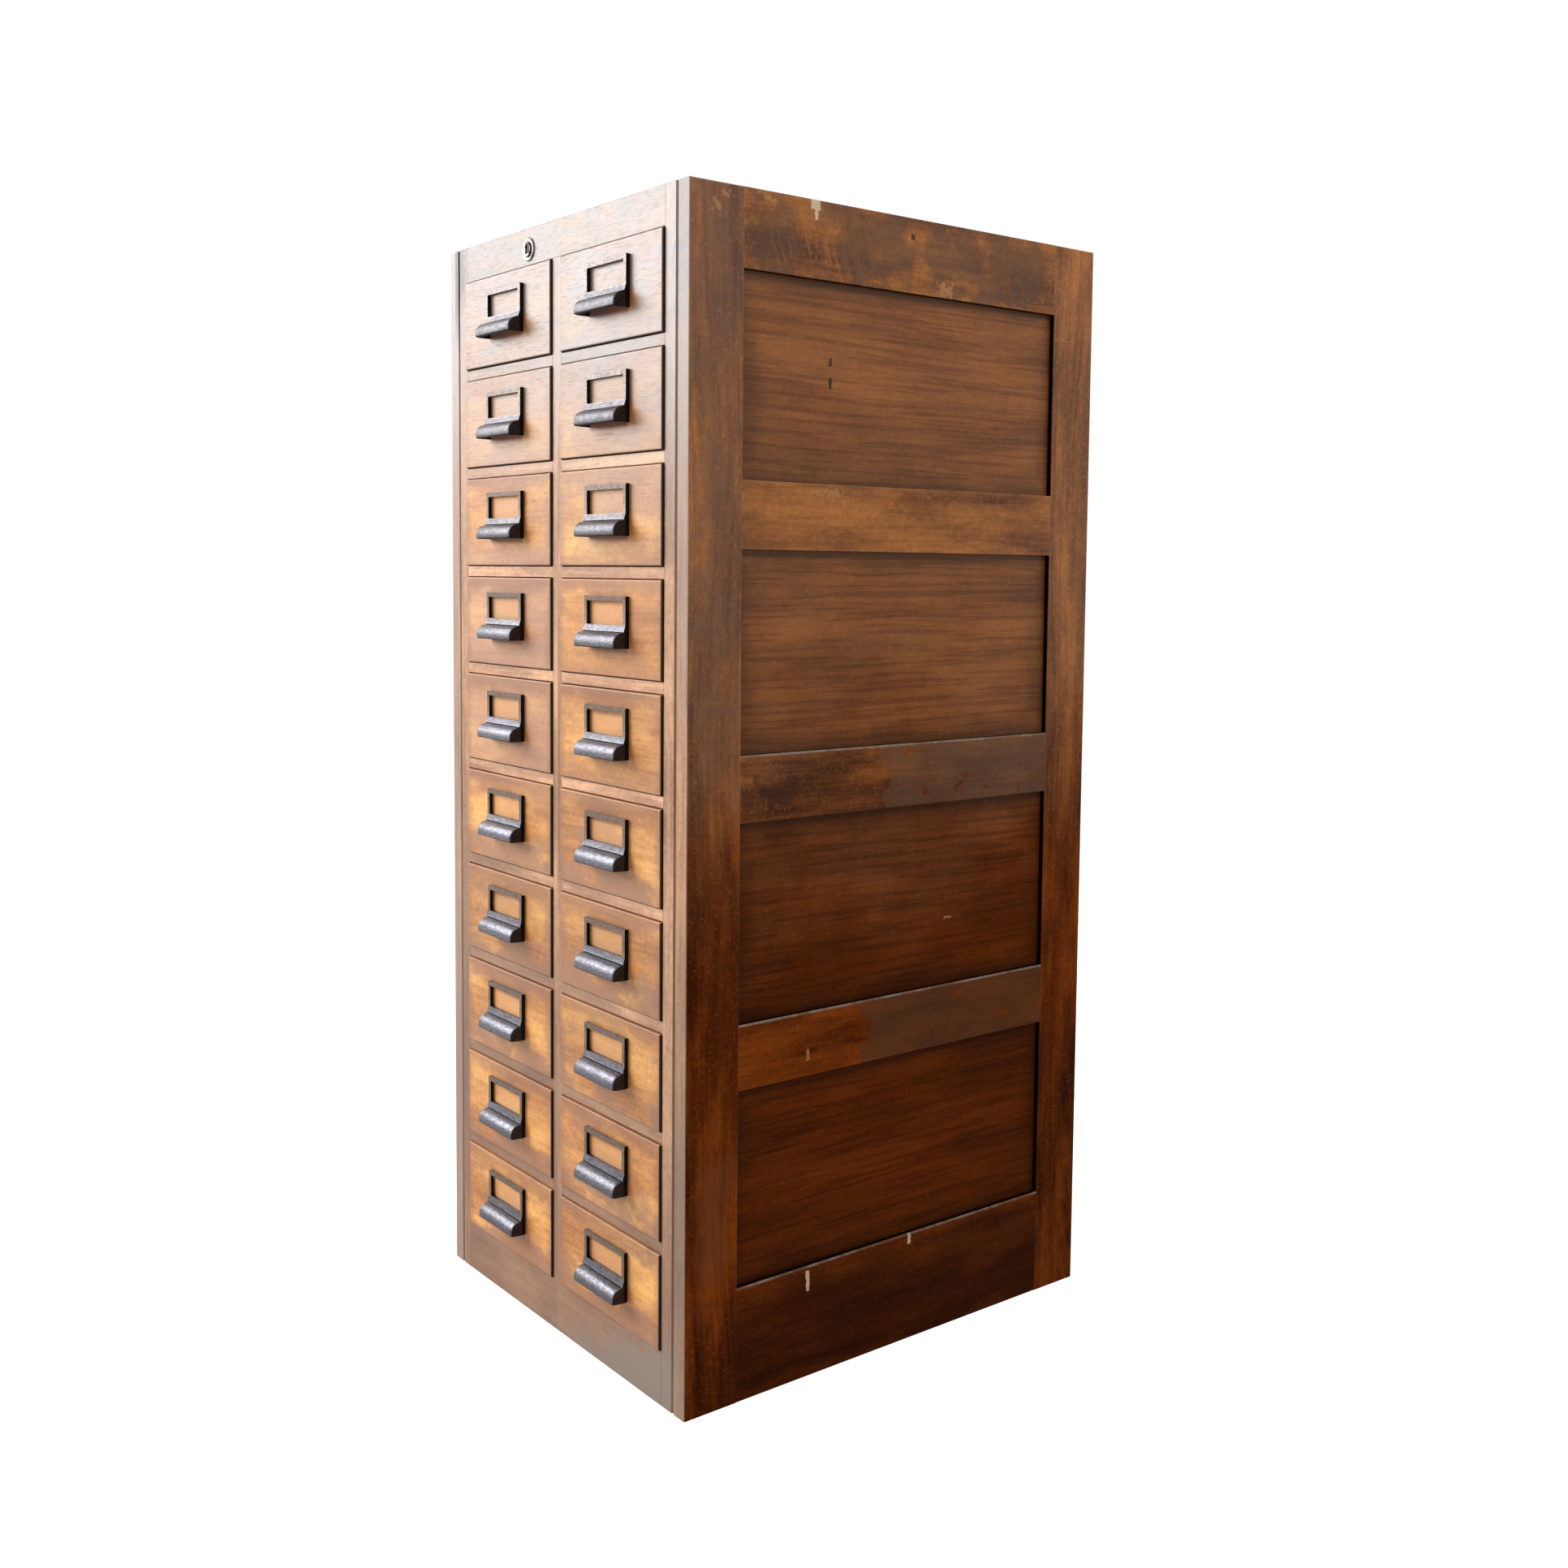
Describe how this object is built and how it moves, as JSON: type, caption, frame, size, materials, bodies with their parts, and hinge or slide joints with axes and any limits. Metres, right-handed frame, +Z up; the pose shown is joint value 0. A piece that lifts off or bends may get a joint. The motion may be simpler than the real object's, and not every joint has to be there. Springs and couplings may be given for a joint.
{
  "type": "index card chest",
  "caption": "Tall oak chest of shallow card drawers in side-by-side columns, with hooded label-holder pulls, panelled sides and one keyhole in the top rail.",
  "frame": {"origin": "on the floor, under the middle of the whole chest with its pulls", "axes": "+X to the right of someone facing the drawers, +Y from the drawers to the back, +Z up"},
  "size_m": [0.498, 0.5882, 1.22],
  "materials": {
    "case_oak": "dark stained oak under worn varnish",
    "panel_oak": "dark stained oak panels, grain across",
    "front_oak": "oak frame of the front, worn and slightly grey",
    "drawer_oak": "golden brown varnished oak fronts on plain boxes",
    "inner_wood": "plain unvarnished softwood",
    "pull_iron": "dark polished cast iron with worn bright faces",
    "lock_brass": "dulled brass",
    "bar_steel": "plain flat steel"
  },
  "bodies": {
    "case": {"side_stiles_left": "case_oak", "side_rails_left": "case_oak", "side_panels_left": "panel_oak", "side_stiles_right": "case_oak", "side_rails_right": "case_oak", "side_panels_right": "panel_oak", "back_frame": "case_oak", "back_panels": "panel_oak", "front_stiles": "front_oak", "front_rails": "front_oak", "drawer_rails": "front_oak", "top_board": "case_oak", "bottom_board": "inner_wood", "centre_partition": "inner_wood", "drawer_runners": "inner_wood", "drawer_stops": "inner_wood", "lock_case": "lock_brass", "keyhole_escutcheon": "lock_brass"},
    "left_drawer_01": {"drawer_left_01": "drawer_oak", "pull_left_01": "pull_iron"},
    "left_drawer_02": {"drawer_left_02": "drawer_oak", "pull_left_02": "pull_iron"},
    "left_drawer_03": {"drawer_left_03": "drawer_oak", "pull_left_03": "pull_iron"},
    "left_drawer_04": {"drawer_left_04": "drawer_oak", "pull_left_04": "pull_iron"},
    "left_drawer_05": {"drawer_left_05": "drawer_oak", "pull_left_05": "pull_iron"},
    "left_drawer_06": {"drawer_left_06": "drawer_oak", "pull_left_06": "pull_iron"},
    "left_drawer_07": {"drawer_left_07": "drawer_oak", "pull_left_07": "pull_iron"},
    "left_drawer_08": {"drawer_left_08": "drawer_oak", "pull_left_08": "pull_iron"},
    "left_drawer_09": {"drawer_left_09": "drawer_oak", "pull_left_09": "pull_iron"},
    "left_drawer_10": {"drawer_left_10": "drawer_oak", "pull_left_10": "pull_iron"},
    "right_drawer_01": {"drawer_right_01": "drawer_oak", "pull_right_01": "pull_iron"},
    "right_drawer_02": {"drawer_right_02": "drawer_oak", "pull_right_02": "pull_iron"},
    "right_drawer_03": {"drawer_right_03": "drawer_oak", "pull_right_03": "pull_iron"},
    "right_drawer_04": {"drawer_right_04": "drawer_oak", "pull_right_04": "pull_iron"},
    "right_drawer_05": {"drawer_right_05": "drawer_oak", "pull_right_05": "pull_iron"},
    "right_drawer_06": {"drawer_right_06": "drawer_oak", "pull_right_06": "pull_iron"},
    "right_drawer_07": {"drawer_right_07": "drawer_oak", "pull_right_07": "pull_iron"},
    "right_drawer_08": {"drawer_right_08": "drawer_oak", "pull_right_08": "pull_iron"},
    "right_drawer_09": {"drawer_right_09": "drawer_oak", "pull_right_09": "pull_iron"},
    "right_drawer_10": {"drawer_right_10": "drawer_oak", "pull_right_10": "pull_iron"},
    "lock_barrel": {"lock_barrel": "lock_brass"},
    "lock_bar": {"lock_bar": "bar_steel"}
  },
  "joints": [
    {"name": "left_drawer_01_slide", "type": "slide", "parent": "case", "child": "left_drawer_01", "axis": [0, -1, 0], "range_m": [0, 0.4]},
    {"name": "left_drawer_02_slide", "type": "slide", "parent": "case", "child": "left_drawer_02", "axis": [0, -1, 0], "range_m": [0, 0.4]},
    {"name": "left_drawer_03_slide", "type": "slide", "parent": "case", "child": "left_drawer_03", "axis": [0, -1, 0], "range_m": [0, 0.4]},
    {"name": "left_drawer_04_slide", "type": "slide", "parent": "case", "child": "left_drawer_04", "axis": [0, -1, 0], "range_m": [0, 0.4]},
    {"name": "left_drawer_05_slide", "type": "slide", "parent": "case", "child": "left_drawer_05", "axis": [0, -1, 0], "range_m": [0, 0.4]},
    {"name": "left_drawer_06_slide", "type": "slide", "parent": "case", "child": "left_drawer_06", "axis": [0, -1, 0], "range_m": [0, 0.4]},
    {"name": "left_drawer_07_slide", "type": "slide", "parent": "case", "child": "left_drawer_07", "axis": [0, -1, 0], "range_m": [0, 0.4]},
    {"name": "left_drawer_08_slide", "type": "slide", "parent": "case", "child": "left_drawer_08", "axis": [0, -1, 0], "range_m": [0, 0.4]},
    {"name": "left_drawer_09_slide", "type": "slide", "parent": "case", "child": "left_drawer_09", "axis": [0, -1, 0], "range_m": [0, 0.4]},
    {"name": "left_drawer_10_slide", "type": "slide", "parent": "case", "child": "left_drawer_10", "axis": [0, -1, 0], "range_m": [0, 0.4]},
    {"name": "right_drawer_01_slide", "type": "slide", "parent": "case", "child": "right_drawer_01", "axis": [0, -1, 0], "range_m": [0, 0.4]},
    {"name": "right_drawer_02_slide", "type": "slide", "parent": "case", "child": "right_drawer_02", "axis": [0, -1, 0], "range_m": [0, 0.4]},
    {"name": "right_drawer_03_slide", "type": "slide", "parent": "case", "child": "right_drawer_03", "axis": [0, -1, 0], "range_m": [0, 0.4]},
    {"name": "right_drawer_04_slide", "type": "slide", "parent": "case", "child": "right_drawer_04", "axis": [0, -1, 0], "range_m": [0, 0.4]},
    {"name": "right_drawer_05_slide", "type": "slide", "parent": "case", "child": "right_drawer_05", "axis": [0, -1, 0], "range_m": [0, 0.4]},
    {"name": "right_drawer_06_slide", "type": "slide", "parent": "case", "child": "right_drawer_06", "axis": [0, -1, 0], "range_m": [0, 0.4]},
    {"name": "right_drawer_07_slide", "type": "slide", "parent": "case", "child": "right_drawer_07", "axis": [0, -1, 0], "range_m": [0, 0.4]},
    {"name": "right_drawer_08_slide", "type": "slide", "parent": "case", "child": "right_drawer_08", "axis": [0, -1, 0], "range_m": [0, 0.4]},
    {"name": "right_drawer_09_slide", "type": "slide", "parent": "case", "child": "right_drawer_09", "axis": [0, -1, 0], "range_m": [0, 0.4]},
    {"name": "right_drawer_10_slide", "type": "slide", "parent": "case", "child": "right_drawer_10", "axis": [0, -1, 0], "range_m": [0, 0.4]},
    {"name": "lock_turn", "type": "hinge", "parent": "case", "child": "lock_barrel", "pos_m": [-0.061, -0.27285, 1.197], "axis": [0, -1, 0], "range_deg": [-90, 0]},
    {"name": "lock_bar_slide", "type": "slide", "parent": "case", "child": "lock_bar", "axis": [0, 0, -1], "range_m": [-0.006, 0]}
  ],
  "couplings": [
    {"joint": "lock_turn", "follows": "lock_bar_slide", "rad_per_m": 261.8}
  ]
}
